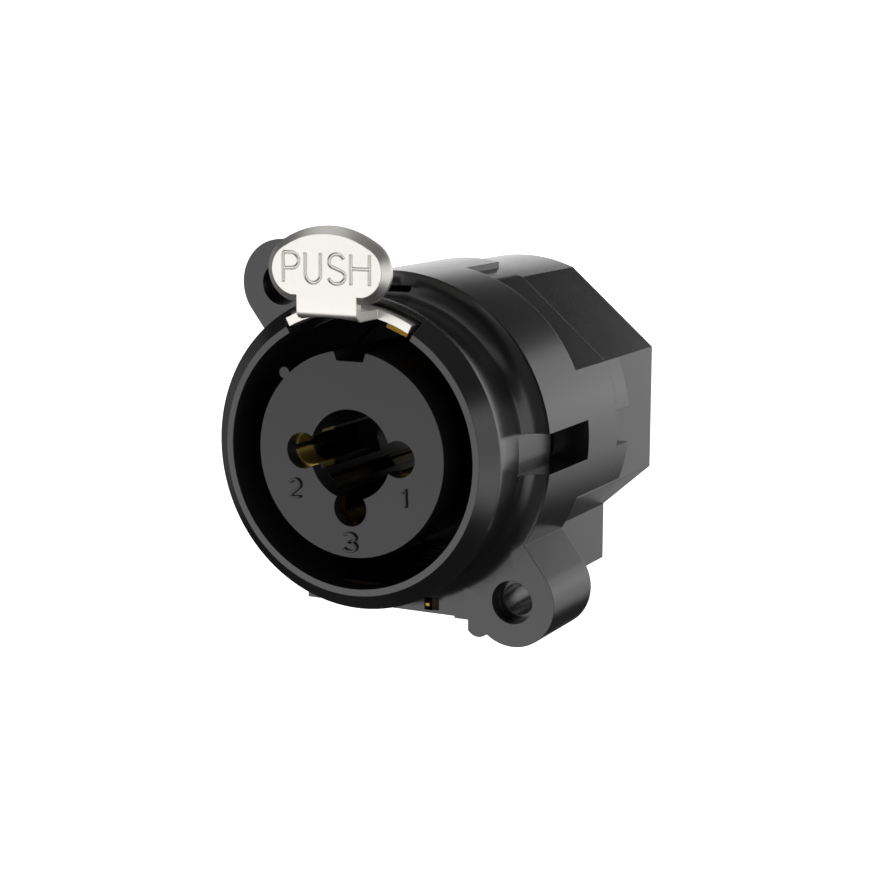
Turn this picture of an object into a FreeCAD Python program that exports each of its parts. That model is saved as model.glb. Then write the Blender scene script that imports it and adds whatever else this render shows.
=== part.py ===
import FreeCAD, Part
import math
import os
import Sketcher

# XLR / 6.35 mm jack combination panel socket.
# Own frame: X to the right, Y into the panel, Z up, millimetres.
# The origin is on the socket's axis, in the plane of the ears that meets the
# back of the panel, so the collar stands at negative Y and the body at
# positive Y.

doc = FreeCAD.newDocument("panel_socket")
sheet = doc.addObject("Spreadsheet::Sheet", "Sizes")


class Dim:
    """A length or angle with both its number and its formula over the sheet."""

    def __init__(self, number, formula):
        self.number = number
        self.formula = formula

    def __add__(self, other):
        other = as_dim(other)
        return Dim(self.number + other.number, f"({self.formula} + {other.formula})")

    def __sub__(self, other):
        other = as_dim(other)
        return Dim(self.number - other.number, f"({self.formula} - {other.formula})")

    def __mul__(self, other):
        other = as_dim(other)
        return Dim(self.number * other.number, f"({self.formula} * {other.formula})")

    def __truediv__(self, other):
        other = as_dim(other)
        return Dim(self.number / other.number, f"({self.formula} / {other.formula})")

    def __neg__(self):
        return Dim(-self.number, f"(0 - {self.formula})")

    __radd__ = __add__
    __rmul__ = __mul__

    def __rsub__(self, other):
        return as_dim(other) - self


def as_dim(value):
    return value if isinstance(value, Dim) else Dim(float(value), repr(float(value)))


def root(value):
    return Dim(math.sqrt(value.number), f"sqrt({value.formula})")


def sine(angle):
    return Dim(math.sin(math.radians(angle.number)), f"sin({angle.formula} * 1 deg)")


def cosine(angle):
    return Dim(math.cos(math.radians(angle.number)), f"cos({angle.formula} * 1 deg)")


def chord_half(radius, offset):
    """Half the chord of a circle that lies this far from its centre."""
    return root(radius * radius - offset * offset)


rows = 0


def size(alias, number, meaning):
    global rows
    rows += 1
    sheet.set(f"A{rows}", meaning)
    sheet.set(f"B{rows}", repr(float(number)))
    sheet.setAlias(f"B{rows}", alias)
    return Dim(float(number), f"Sizes.{alias}")


# Moulded front housing: collar, shoulder, ears and the first half of the body
collar_length = size("collar_length", 6.76, "rim of the collar to the panel plane")
bore_radius = size("bore_radius", 9.58, "bore that takes the plug's metal shell")
rim_width = size("rim_width", 0.50, "flat front ring round the bore")
lip_radius = size("lip_radius", 11.21, "widest ring of the collar")
lip_setback = size("lip_setback", 0.97, "length of the cone from the rim to that ring")
lip_land = size("lip_land", 0.30, "straight part of that ring")
neck_radius = size("neck_radius", 10.62, "collar where its round to the shoulder starts")
neck_fillet = size("neck_fillet", 1.50, "round between collar and shoulder")
shoulder_radius = size("shoulder_radius", 12.39, "round body behind the panel")
shoulder_depth = size("shoulder_depth", 6.76, "thickness of shoulder and ears")
split_depth = size("split_depth", 12.45, "seam between front and rear housing")
rear_depth = size("rear_depth", 22.20, "rear face of the body")
crown_radius = size("crown_radius", 11.93, "round top of the body behind the shoulder")
crown_half_width = size("crown_half_width", 4.40, "where the round top ends")
flat_half_width = size("flat_half_width", 11.33, "flat sides of the body, from the axis")
flat_top = size("flat_top", 5.05, "top edge of the flat sides")
flat_bottom = size("flat_bottom", 4.60, "bottom edge of the flat sides, below the axis")
base_half_width = size("base_half_width", 7.40, "lower block of the body")
base_shoulder = size("base_shoulder", 8.06, "top of the lower block, below the axis")
base_depth = size("base_depth", 12.56, "underside of the body, below the axis")
pad_bottom = size("pad_bottom", 4.30, "lower end of the round side pad")
crown_pad_half = size("crown_pad_half", 2.40, "half width of the round top pad")
clip_gap_half = size("clip_gap_half", 1.36, "half gap between a side's two clip strips")
clip_length = size("clip_length", 2.41, "clip strips along the body")
ear_across = size("ear_across", 9.50, "ear hole from the axis, sideways")
ear_above = size("ear_above", 11.00, "ear hole from the axis, up or down")
ear_radius = size("ear_radius", 3.29, "round end of an ear")
ear_web_angle = size("ear_web_angle", 33.00, "body angle at which an ear's web starts")
pilot_radius = size("pilot_radius", 1.17, "pilot hole for a thread-forming screw")
mouth_radius = size("mouth_radius", 1.58, "lead-in of that hole")
mouth_depth = size("mouth_depth", 1.15, "length of the lead-in")
window_half = size("window_half", 1.45, "half height of the side windows")
window_front = size("window_front", 4.00, "front edge of the side windows")
window_back = size("window_back", 6.90, "rear edge of the side windows")
heel_left = size("heel_left", 4.90, "left side of the step under the shoulder")
heel_drop = size("heel_drop", 0.15, "that step below the underside")
mark_half = size("mark_half", 1.49, "half width of the slot over the latch")
mark_low = size("mark_low", 10.93, "lower side of that slot above the axis")
mark_high = size("mark_high", 11.35, "upper side of that slot above the axis")
foot_left = size("foot_left", 6.00, "locating foot's left side")
foot_width = size("foot_width", 1.62, "locating foot's width")
foot_drop = size("foot_drop", 1.34, "locating foot below the underside")
foot_length = size("foot_length", 2.40, "locating foot along the body")

# Latch: one stamped steel plate with its push tab, and two return springs
latch_sheet = size("latch_sheet", 0.66, "steel sheet of the latch")
latch_inner = size("latch_inner", 9.97, "inner radius of the latch plate")
latch_half_angle = size("latch_half_angle", 28.0, "half the latch plate's arc, degrees")
latch_side_gap = size("latch_side_gap", 1.65, "arc clearance at each side, degrees")
latch_roof_gap = size("latch_roof_gap", 0.32, "clearance over the plate at the rim")
latch_travel = size("latch_travel", 2.00, "stroke of the push tab")
latch_tail = size("latch_tail", 0.40, "rear face of the latch's cross bar")
plate_back = size("plate_back", -5.40, "rear edge of the latch's curved plate")
tongue_half_angle = size("tongue_half_angle", 11.5, "half the tongue's arc, degrees")
tongue_inner = size("tongue_inner", 9.70, "inner radius of tongue and cross bar")
tongue_sheet = size("tongue_sheet", 0.50, "thickness of the tongue and of the cross bar")
bar_outer = size("bar_outer", 10.75, "outer radius of the cross bar")
bar_half_angle = size("bar_half_angle", 24.0, "half the cross bar's arc, degrees")
slide_gap = size("slide_gap", 0.10, "clearance over plate, tongue and bar")
tab_standoff = size("tab_standoff", 3.04, "tab's front face ahead of the rim")
tab_half_width = size("tab_half_width", 4.78, "half width of the push tab")
tab_bottom = size("tab_bottom", 10.92, "lower edge of the tab above the axis")
tab_top = size("tab_top", 16.14, "upper edge of the tab above the axis")
tab_bevel = size("tab_bevel", 0.40, "bevel round the tab's face")
tab_corner = size("tab_corner", 2.30, "rounding of the tab's corners")
tab_neck_half = size("tab_neck_half", 2.34, "half width of the tab's neck")
hook_half = size("hook_half", 1.40, "half width of the locking nose")
hook_drop = size("hook_drop", 0.80, "locking nose inwards from the plate")
hook_back = size("hook_back", -0.80, "locking face of the nose, along the axis")
hook_length = size("hook_length", 1.50, "nose along the axis")
coil_across = size("coil_across", 3.50, "return springs from the axis, sideways")
coil_radius = size("coil_radius", 0.52, "mean radius of a return spring")
coil_wire = size("coil_wire", 0.12, "wire radius of a return spring")
coil_turns = size("coil_turns", 4.0, "turns of a return spring")
coil_seat = size("coil_seat", 6.20, "bottom of a return spring's pocket")

# Round insert with the jack bore and the three pin holes
fit_gap = size("fit_gap", 0.08, "clearance between pieces that seat in each other")
insert_recess = size("insert_recess", 0.12, "insert's face behind the rim")
insert_radius = size("insert_radius", 7.35, "round insert that enters the plug")
insert_floor = size("insert_floor", 8.40, "bottom of the ring gap for the plug's shell")
insert_flange = size("insert_flange", 2.00, "thickness of the insert's flange")
jack_radius = size("jack_radius", 3.21, "bore for the 6.35 mm jack plug")
pin_circle = size("pin_circle", 3.81, "pin holes from the axis")
pin_hole = size("pin_hole", 1.29, "mouth of a pin hole")
pin_lip = size("pin_lip", 1.20, "length of that mouth")
key_outer_half = size("key_outer_half", 1.37, "keyway, half width at the insert's rim")
key_inner_half = size("key_inner_half", 1.04, "keyway, half width at its floor")
key_floor = size("key_floor", 6.60, "keyway's floor above the axis")
nub_radius = size("nub_radius", 0.42, "coding nub on the insert's rim")
nub_angle = size("nub_angle", 44.0, "nub's angle from the top, to the left, degrees")
nub_length = size("nub_length", 2.00, "nub along the insert")

# Contacts
socket_bore = size("socket_bore", 1.20, "inside of a pin contact")
socket_wall = size("socket_wall", 0.42, "wall of a pin contact")
socket_length = size("socket_length", 8.40, "round part of a pin contact")
socket_slit = size("socket_slit", 0.40, "slit that lets a pin contact spring")
strip_sheet = size("strip_sheet", 0.30, "sheet of the jack springs")
strip_width = size("strip_width", 1.70, "width of the jack springs")
tail_half = size("tail_half", 0.85, "half width of a pin contact's tail")
tail_end = size("tail_end", 27.00, "end of the solder tails")
tail_row = size("tail_row", 7.20, "jack springs' tails from the axis")
switch_row = size("switch_row", 5.70, "switch contacts' tails from the axis")
eye_length = size("eye_length", 1.50, "punched eye in a solder tail, along it")
eye_width = size("eye_width", 0.80, "width of that eye")
eye_end = size("eye_end", 0.70, "eye to the end of its tail")
carrier_bore = size("carrier_bore", 3.40, "clear hole through carrier and wafer")
carrier_radius = size("carrier_radius", 4.30, "outside of the carrier's tube")
carrier_flange = size("carrier_flange", 1.20, "carrier's front flange")
wafer_sheet = size("wafer_sheet", 1.00, "thickness of the terminal wafer")
rear_wall = size("rear_wall", 1.60, "rear wall of the body")
wafer_opening = size("wafer_opening", 8.68, "round opening of the rear wall")
sheet_gap = size("sheet_gap", 0.10, "clearance round a strip in its slot")
ground_angle = size("ground_angle", 21.5, "upper ground leaf from the top, degrees")
slot_half = size("slot_half", 1.80, "half width of the ground spring's channel")
slot_floor = size("slot_floor", 10.25, "bottom of that channel, below the axis")
terminal_sheet = size("terminal_sheet", 0.30, "sheet of the ground terminal")
leaf_sheet = size("leaf_sheet", 0.20, "sheet of the panel ground leaf")
leaf_reach = size("leaf_reach", 0.48, "that leaf's tip beside its slot")
slot_front = size("slot_front", -5.20, "front end of that channel")
pin_slot_left = size("pin_slot_left", 2.45, "ground terminal's slot, left side")
pin_slot_width = size("pin_slot_width", 0.70, "that slot's width")
pin_slot_wall = size("pin_slot_wall", 0.22, "wall under that slot")
pin_slot_tall = size("pin_slot_tall", 0.98, "that slot's height")
doc.recompute()

face = -collar_length
pin_slot_low = base_depth - pin_slot_wall
pieces = []


# Drawing and feature helpers.

def bind(item, prop, dim):
    item.setExpression(prop, as_dim(dim).formula)


def new_body(label):
    body = doc.addObject("PartDesign::Body", label)
    body.Label = label
    pieces.append(body)
    return body


def new_sketch(body, role, level, name):
    """A sketch parallel to one of the body's planes, this far along the axis
    that the plane faces: +Y for XZ, +X for YZ and +Z for XY."""
    sketch = body.newObject("Sketcher::SketchObject", name)
    plane = next(f for f in body.Origin.OriginFeatures if f.Role == role)
    sketch.AttachmentSupport = [(plane, "")]
    sketch.MapMode = "FlatFace"
    level = as_dim(level)
    shift = -level if role == "XZ_Plane" else level
    sketch.AttachmentOffset = FreeCAD.Placement(
        FreeCAD.Vector(0, 0, shift.number), FreeCAD.Rotation())
    bind(sketch, "AttachmentOffset.Base.z", shift)
    return sketch


def pin_point(sketch, index, end, x, y):
    for kind, axis, dim in (("DistanceX", -2, as_dim(x)), ("DistanceY", -1, as_dim(y))):
        if dim.formula in ("0.0", "-0.0"):
            sketch.addConstraint(Sketcher.Constraint("PointOnObject", index, end, axis))
            continue
        number = sketch.addConstraint(
            Sketcher.Constraint(kind, -1, 1, index, end, dim.number))
        sketch.setExpression(f"Constraints[{number}]", dim.formula)


def add_circle(sketch, x, y, radius):
    x, y, radius = as_dim(x), as_dim(y), as_dim(radius)
    index = sketch.addGeometry(Part.Circle(
        FreeCAD.Vector(x.number, y.number, 0), FreeCAD.Vector(0, 0, 1), radius.number))
    pin_point(sketch, index, 3, x, y)
    number = sketch.addConstraint(Sketcher.Constraint("Radius", index, radius.number))
    sketch.setExpression(f"Constraints[{number}]", radius.formula)


def add_outline(sketch, corners):
    """A closed outline. Each corner is (x, y), or (x, y, radius, side) where the
    run to the next corner is an arc: side +1 bulges to the right of travel."""
    points = [(as_dim(c[0]), as_dim(c[1])) for c in corners]
    first = sketch.GeometryCount
    ends = []
    for i, corner in enumerate(corners):
        a = FreeCAD.Vector(points[i][0].number, points[i][1].number, 0)
        following = points[(i + 1) % len(points)]
        b = FreeCAD.Vector(following[0].number, following[1].number, 0)
        if len(corner) == 2:
            sketch.addGeometry(Part.LineSegment(a, b))
            ends.append((1, 2))
            continue
        radius, side = as_dim(corner[2]).number, corner[3]
        chord = b - a
        right = FreeCAD.Vector(chord.y, -chord.x, 0).normalize()
        inset = math.sqrt(max(radius * radius - chord.Length ** 2 / 4, 0))
        centre = (a + b) * 0.5 - right * (side * inset)
        start, stop = (a, b) if side > 0 else (b, a)
        sketch.addGeometry(Part.ArcOfCircle(
            Part.Circle(centre, FreeCAD.Vector(0, 0, 1), radius),
            math.atan2(start.y - centre.y, start.x - centre.x),
            math.atan2(stop.y - centre.y, stop.x - centre.x)))
        ends.append((1, 2) if side > 0 else (2, 1))
    count = len(corners)
    for i in range(count):
        j = (i + 1) % count
        sketch.addConstraint(Sketcher.Constraint(
            "Coincident", first + i, ends[i][1], first + j, ends[j][0]))
    for i in range(count):
        pin_point(sketch, first + i, ends[i][0], *points[i])
    for i, corner in enumerate(corners):
        if len(corner) > 2:
            radius = as_dim(corner[2])
            number = sketch.addConstraint(
                Sketcher.Constraint("Radius", first + i, radius.number))
            sketch.setExpression(f"Constraints[{number}]", radius.formula)


def add_box(sketch, left, low, right, high):
    add_outline(sketch, [(left, low), (right, low), (right, high), (left, high)])


def add_path(sketch, points):
    """An open run of straight lines through these points."""
    points = [(as_dim(x), as_dim(y)) for x, y in points]
    for a, b in zip(points, points[1:]):
        sketch.addGeometry(Part.LineSegment(
            FreeCAD.Vector(a[0].number, a[1].number, 0),
            FreeCAD.Vector(b[0].number, b[1].number, 0)))
    for i in range(len(points) - 2):
        sketch.addConstraint(Sketcher.Constraint("Coincident", i, 2, i + 1, 1))
    for i in range(len(points) - 1):
        pin_point(sketch, i, 1, *points[i])
    pin_point(sketch, len(points) - 2, 2, *points[-1])


def pad(body, sketch, length, name, both=False):
    """Material from the sketch along +Y (XZ sketch), +X (YZ) or +Z (XY)."""
    feature = body.newObject("PartDesign::Pad", name)
    feature.Profile = sketch
    feature.Length = as_dim(length).number
    bind(feature, "Length", length)
    if both:
        feature.SideType = "Symmetric"
    else:
        feature.Reversed = plane_role(sketch) == "XZ_Plane"
    sketch.Visibility = False
    return feature


def pocket(body, sketch, length, name, both=False):
    """A cut from the sketch along +Y (XZ sketch), +X (YZ) or +Z (XY)."""
    feature = body.newObject("PartDesign::Pocket", name)
    feature.Profile = sketch
    feature.Length = as_dim(length).number
    bind(feature, "Length", length)
    if both:
        feature.SideType = "Symmetric"
    else:
        feature.Reversed = plane_role(sketch) != "XZ_Plane"
    return feature


def plane_role(sketch):
    return sketch.AttachmentSupport[0][0].Role


def axis_of(body, role):
    return next(f for f in body.Origin.OriginFeatures if f.Role == role)


def turned_copies(body, features, total_angle, copies, name):
    """The same features again round the socket's axis."""
    pattern = body.newObject("PartDesign::PolarPattern", name)
    pattern.Originals = features
    pattern.Axis = (axis_of(body, "Y_Axis"), [""])
    pattern.Angle = total_angle
    pattern.Occurrences = copies
    body.Tip = pattern
    return pattern


def mirrored(body, features, name):
    """The same features again on the left side."""
    mirror = body.newObject("PartDesign::Mirrored", name)
    mirror.Originals = features
    mirror.MirrorPlane = (axis_of(body, "YZ_Plane"), [""])
    body.Tip = mirror
    return mirror


def turn_about_axis(body, angle):
    """Turns a piece drawn at the top round the socket's axis, clockwise as seen
    from the front."""
    body.Placement = FreeCAD.Placement(
        FreeCAD.Vector(), FreeCAD.Rotation(FreeCAD.Vector(0, 1, 0), as_dim(angle).number))
    bind(body, "Placement.Rotation.Angle", angle)


def sector(inner, outer, half_angle):
    """Corners of a piece of a ring about the axis, centred on the top."""
    left, up = sine(half_angle), cosine(half_angle)
    return [(-(outer * left), outer * up, outer, -1),
            (outer * left, outer * up),
            (inner * left, inner * up, inner, 1),
            (-(inner * left), inner * up)]




# Front housing.
# One black moulding, open at the back. The collar goes through the panel, the
# shoulder and ears lie against its back, and the body behind carries the latch's
# guide, the side windows and the ground spring's channel.



def neck_round():
    """The hollow round from collar to shoulder, as short cones."""
    steps = 3
    corners = []
    for step_number in range(steps + 1):
        turn = as_dim(90.0 * step_number / steps)
        corners.append((neck_radius + neck_fillet * (1 - cosine(turn)),
                        -(neck_fillet * (1 - sine(turn)))))
    return corners


front = new_body("front_housing")
profile = new_sketch(front, "XY_Plane", 0, "CollarProfile")
add_outline(profile, [
    (0, face),
    (bore_radius + rim_width, face),
    (lip_radius, face + lip_setback),
    (lip_radius, face + lip_setback + lip_land),
    *neck_round(),
    (shoulder_radius, 0),
    (shoulder_radius, shoulder_depth),
    (0, shoulder_depth)])
turned = front.newObject("PartDesign::Revolution", "Collar")
turned.Profile = profile
turned.ReferenceAxis = (profile, ["V_Axis"])
turned.Angle = 360


def body_outline(sketch):
    """The body behind the shoulder: round top, sloping flats, flat sides and a
    narrower block underneath."""
    crown_top = chord_half(crown_radius, crown_half_width)
    right = [
        (crown_half_width, crown_top),
        (flat_half_width, flat_top),
        (flat_half_width, -flat_bottom),
        (base_half_width, -base_shoulder),
        (base_half_width, -base_depth)]
    left = [(-x, y) for x, y in reversed(right)]
    add_outline(sketch, right + left[:-1] + [left[-1] + (crown_radius, -1)])


def side_sector(sketch, high, low):
    """The slice of the round body between two heights on the right."""
    add_outline(sketch, [
        (flat_half_width - 1, low),
        (chord_half(shoulder_radius, low), low, shoulder_radius, 1),
        (chord_half(shoulder_radius, high), high),
        (flat_half_width - 1, high)])


outline = new_sketch(front, "XZ_Plane", shoulder_depth, "BodyOutline")
body_outline(outline)
pad(front, outline, split_depth - shoulder_depth, "Body")

block = new_sketch(front, "XZ_Plane", 0, "ShoulderBlock")
add_box(block, -base_half_width, -base_depth, base_half_width, -base_shoulder)
pad(front, block, shoulder_depth + 0.5, "BlockBehindPanel")

side = new_sketch(front, "XZ_Plane", shoulder_depth - 0.5, "SidePadOutline")
side_sector(side, flat_top, -pad_bottom)
side_pad = pad(front, side, split_depth - shoulder_depth + 0.5, "SidePad")
mirrored(front, [side_pad], "SidePads")

crown = new_sketch(front, "XZ_Plane", shoulder_depth - 0.5, "CrownPadOutline")
crown_rise = chord_half(shoulder_radius, crown_pad_half)
add_outline(crown, [
    (-crown_pad_half, crown_rise, shoulder_radius, -1),
    (crown_pad_half, crown_rise),
    (crown_pad_half, crown_rise - 1.5),
    (-crown_pad_half, crown_rise - 1.5)])
pad(front, crown, split_depth - shoulder_depth + 0.5, "CrownPad")

# An ear is a round boss with two straight webs that touch it as tangents.
ear_reach = root(ear_across * ear_across + ear_above * ear_above)
web_inner = shoulder_radius - 0.15


def web_outline(sketch):
    """Both webs in one outline, from the body to the tangent points."""
    half = ear_web_angle / 2
    away, up = web_inner * cosine(half), web_inner * sine(half)
    run = ear_reach - away
    reach = run * run + up * up
    slope = root(reach - ear_radius * ear_radius)
    # Foot of the tangent on the boss, along and across the line to the ear.
    along = ear_reach + (ear_radius * up * slope - ear_radius * ear_radius * run) / reach
    across = (ear_radius * slope * run + ear_radius * ear_radius * up) / reach
    unit_x, unit_z = ear_across / ear_reach, ear_above / ear_reach
    corners = []
    for a, c, turn in ((away, up, 1), (along, across, 1), (along, across, -1), (away, up, -1)):
        corners.append((a * unit_x + c * unit_z * turn, c * unit_x * turn - a * unit_z))
    add_outline(sketch, corners)


ear_disc = new_sketch(front, "XZ_Plane", 0, "EarOutline")
add_circle(ear_disc, ear_across, -ear_above, ear_radius)
ear = pad(front, ear_disc, shoulder_depth, "Ear")
web = new_sketch(front, "XZ_Plane", 0, "EarWebOutline")
web_outline(web)
ear_web = pad(front, web, shoulder_depth, "EarWeb")
turned_copies(front, [ear, ear_web], 360, 2, "Ears")

foot = new_sketch(front, "XZ_Plane", 0, "FootOutline")
foot_low = base_depth + foot_drop
foot_round = foot_width * 0.6
add_outline(foot, [
    (foot_left, -(foot_low - foot_round * 0.45), foot_round, 1),
    (foot_left + foot_width, -(foot_low - foot_round * 0.45)),
    (foot_left + foot_width, -(base_depth - 0.5)),
    (foot_left, -(base_depth - 0.5))])
pad(front, foot, foot_length, "Foot")

heel = new_sketch(front, "XZ_Plane", 0, "HeelOutline")
add_box(heel, heel_left, -(base_depth + heel_drop), base_half_width, -(base_depth - 0.5))
pad(front, heel, shoulder_depth, "Heel")

hollow = new_sketch(front, "XZ_Plane", face - 1, "BoreOutline")
add_circle(hollow, 0, 0, bore_radius)
pocket(front, hollow, collar_length + split_depth + 2, "Bore")

# Guide for the latch: room for the curved plate at the rim, a channel for its
# tongue, and behind that the room where its cross bar moves against the springs.
latch_outer = latch_inner + latch_sheet
tongue_outer = tongue_inner + tongue_sheet
guide_roof = latch_outer + latch_roof_gap
guide_half = latch_half_angle + latch_side_gap
guide_end = latch_tail + latch_travel + 0.5
guide_low = bore_radius - 0.3
bar_front = latch_tail - tongue_sheet
guide_steps = (
    ("RimRoom", guide_roof, guide_half, face - 1, plate_back - 0.3),
    ("PlateRoom", latch_outer + slide_gap, guide_half, plate_back - 0.4,
     plate_back + latch_travel + slide_gap),
    ("TongueChannel", tongue_outer + slide_gap, tongue_half_angle + 1.0,
     plate_back + latch_travel, bar_front),
    ("BarRoom", bar_outer + slide_gap, bar_half_angle + 1.5, bar_front - slide_gap, guide_end))
for label, roof, half_angle, begin, end in guide_steps:
    room = new_sketch(front, "XZ_Plane", begin, f"{label}Outline")
    add_outline(room, sector(guide_low, roof, half_angle))
    pocket(front, room, end - begin, label)

# The slot over the latch runs in from the shoulder and drops into the bar's room.
mark = new_sketch(front, "XZ_Plane", -neck_fillet, "LatchSlotOutline")
add_box(mark, -mark_half, mark_low, mark_half, mark_high)
pocket(front, mark, guide_end + neck_fillet, "LatchSlot")
drop = new_sketch(front, "XZ_Plane", latch_tail + 0.1, "LatchSlotDropOutline")
add_box(drop, -mark_half, tongue_outer, mark_half, mark_low + 0.1)
pocket(front, drop, guide_end - latch_tail - 0.1, "LatchSlotDrop")

coil_height = root((latch_inner + latch_sheet / 2) * (latch_inner + latch_sheet / 2)
                   - coil_across * coil_across)
coil_room = coil_radius + coil_wire + 0.10
seats = new_sketch(front, "XZ_Plane", latch_tail - 0.1, "CoilSeatOutline")
add_circle(seats, coil_across, coil_height, coil_room)
coil_pocket = pocket(front, seats, coil_seat - latch_tail + 0.1, "CoilSeat")
mirrored(front, [coil_pocket], "CoilSeats")

holes = new_sketch(front, "XZ_Plane", -1, "PilotOutline")
add_circle(holes, ear_across, -ear_above, pilot_radius)
pilot = pocket(front, holes, shoulder_depth + 2, "PilotHole")
mouths = new_sketch(front, "XZ_Plane", -1, "MouthOutline")
add_circle(mouths, ear_across, -ear_above, mouth_radius)
mouth = pocket(front, mouths, mouth_depth + 1, "LeadIn")
turned_copies(front, [pilot, mouth], 360, 2, "EarHoles")

# Side windows. In front of each runs a channel whose floor carries on the collar's
# outside through the shoulder.
window = new_sketch(front, "YZ_Plane", 0, "WindowOutline")
add_box(window, window_front, -window_half, window_back, window_half)
pocket(front, window, shoulder_radius * 2 + 2, "Windows", both=True)
channel_front = -neck_fillet
channel_floor = neck_radius - 0.02
floor_x = chord_half(channel_floor, window_half)
channel = new_sketch(front, "XZ_Plane", channel_front, "ChannelOutline")
add_outline(channel, [
    (floor_x, -window_half, channel_floor, 1),
    (floor_x, window_half),
    (shoulder_radius + 1, window_half),
    (shoulder_radius + 1, -window_half)])
channel_cut = pocket(front, channel, window_back - channel_front, "Channel")
mirrored(front, [channel_cut], "Channels")

# Channel of the lower ground spring, and the slot where its terminal shows.
trough = new_sketch(front, "XZ_Plane", slot_front, "TroughOutline")
add_box(trough, -slot_half, -slot_floor, slot_half, -(bore_radius - 0.6))
pocket(front, trough, insert_floor - slot_front, "Trough")
pin_slot = new_sketch(front, "XZ_Plane", -1, "TerminalSlotOutline")
add_box(pin_slot, pin_slot_left, -pin_slot_low,
        pin_slot_left + pin_slot_width, -(pin_slot_low - pin_slot_tall))
pocket(front, pin_slot, split_depth + 2, "TerminalSlot")
slot_low = -(pin_slot_low - sheet_gap)
slot_high = -(pin_slot_low - pin_slot_tall + sheet_gap)
leaf_front = as_dim(0.04)
leaf_left = pin_slot_left + sheet_gap * 0.8 + terminal_sheet + 0.04
leaf_right = leaf_left + leaf_sheet
leaf_tip = leaf_right + leaf_reach
leaf_bed = new_sketch(front, "XZ_Plane", -1, "LeafBedOutline")
add_box(leaf_bed, leaf_right, slot_low - 0.05, leaf_tip + 0.08, slot_high + 0.05)
pocket(front, leaf_bed, leaf_front + leaf_sheet + 1.06, "LeafBed")



# Rear housing.
# The closing half of the body, with two clip strips on each flat side and a round
# opening in its rear wall for the solder tails.

rear = new_body("rear_housing")
shell = new_sketch(rear, "XZ_Plane", split_depth, "RearOutline")
body_outline(shell)
pad(rear, shell, rear_depth - split_depth, "RearBody")
strips = []
for number, (high, low) in enumerate(((flat_top, clip_gap_half), (-clip_gap_half, -pad_bottom))):
    strip = new_sketch(rear, "XZ_Plane", split_depth, f"ClipStripOutline{number}")
    side_sector(strip, high, low)
    strips.append(pad(rear, strip, clip_length, f"ClipStrip{number}"))
mirrored(rear, strips, "ClipStrips")
inner_wall = rear_depth - rear_wall
cavity = new_sketch(rear, "XZ_Plane", split_depth - 1, "CavityOutline")
add_circle(cavity, 0, 0, bore_radius)
pocket(rear, cavity, inner_wall - split_depth + 1, "Cavity")
mouth_ring = new_sketch(rear, "XZ_Plane", inner_wall - 1, "RearOpeningOutline")
add_circle(mouth_ring, 0, 0, wafer_opening)
pocket(rear, mouth_ring, rear_wall + 2, "RearOpening")
rear_slot = new_sketch(rear, "XZ_Plane", split_depth - 1, "RearTerminalSlotOutline")
add_box(rear_slot, pin_slot_left, -pin_slot_low,
        pin_slot_left + pin_slot_width, -(pin_slot_low - pin_slot_tall))
pocket(rear, rear_slot, rear_depth - split_depth + 2, "RearTerminalSlot")

# Positions shared by the insert, carrier, wafer and contacts.

insert_face = face + insert_recess
flange_end = insert_floor + insert_flange
carrier_end = inner_wall - wafer_sheet
socket_front = insert_face + pin_lip
socket_outer = socket_bore + socket_wall
tail_inner = pin_circle + socket_bore
tail_outer = pin_circle + socket_outer
sleeve_angle, ring_angle = 225.0, 135.0
sleeve_row = tail_row - 1.2
sleeve_width = strip_width * 0.5
leaf_radius = bore_radius - 0.38


def slot_at(sketch, angle, low, high, half_width):
    """A slot whose length points away from the axis at this angle from the top."""
    up, right = cosine(as_dim(angle)), sine(as_dim(angle))
    corners = []
    for distance, across in ((low, -1), (low, 1), (high, 1), (high, -1)):
        offset = half_width * across
        corners.append((distance * right + offset * up, distance * up - offset * right))
    add_outline(sketch, corners)


# Contact insert.
# Round moulding that enters the plug's shell. The jack bore runs down its middle
# and opens into the three pin holes round it.

insert = new_body("contact_insert")
barrel = new_sketch(insert, "XZ_Plane", insert_face, "BarrelOutline")
add_circle(barrel, 0, 0, insert_radius)
pad(insert, barrel, flange_end - insert_face, "Barrel")
flange = new_sketch(insert, "XZ_Plane", insert_floor, "FlangeOutline")
add_circle(flange, 0, 0, bore_radius - fit_gap)
pad(insert, flange, insert_flange, "Flange")
nub = new_sketch(insert, "XZ_Plane", insert_face, "NubOutline")
nub_seat = insert_radius + nub_radius * 0.6
add_circle(nub, -(nub_seat * sine(nub_angle)), nub_seat * cosine(nub_angle), nub_radius)
pad(insert, nub, nub_length, "Nub")
jack = new_sketch(insert, "XZ_Plane", insert_face - 1, "JackBoreOutline")
add_circle(jack, 0, 0, jack_radius)
pocket(insert, jack, flange_end - insert_face + 2, "JackBore")
keyway = new_sketch(insert, "XZ_Plane", insert_face - 1, "KeywayOutline")
add_outline(keyway, [
    (-key_inner_half, key_floor),
    (key_inner_half, key_floor),
    (key_outer_half, insert_radius + 0.2),
    (-key_outer_half, insert_radius + 0.2)])
pocket(insert, keyway, insert_floor - insert_face + 1, "Keyway")
mouth_hole = new_sketch(insert, "XZ_Plane", insert_face - 1, "PinMouthOutline")
add_circle(mouth_hole, pin_circle, 0, pin_hole)
pin_mouth = pocket(insert, mouth_hole, pin_lip + 1.5, "PinMouth")
seat = new_sketch(insert, "XZ_Plane", socket_front, "PinSeatOutline")
add_circle(seat, pin_circle, 0, socket_outer + fit_gap)
pin_seat = pocket(insert, seat, socket_length + 0.2, "PinSeat")
tail_slot = new_sketch(insert, "XZ_Plane", socket_front + 1, "PinTailOutline")
add_box(tail_slot, tail_inner - sheet_gap, -(tail_half + sheet_gap),
        tail_outer + sheet_gap, tail_half + sheet_gap)
tail_cut = pocket(insert, tail_slot, flange_end - socket_front, "PinTailSlot")
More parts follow.
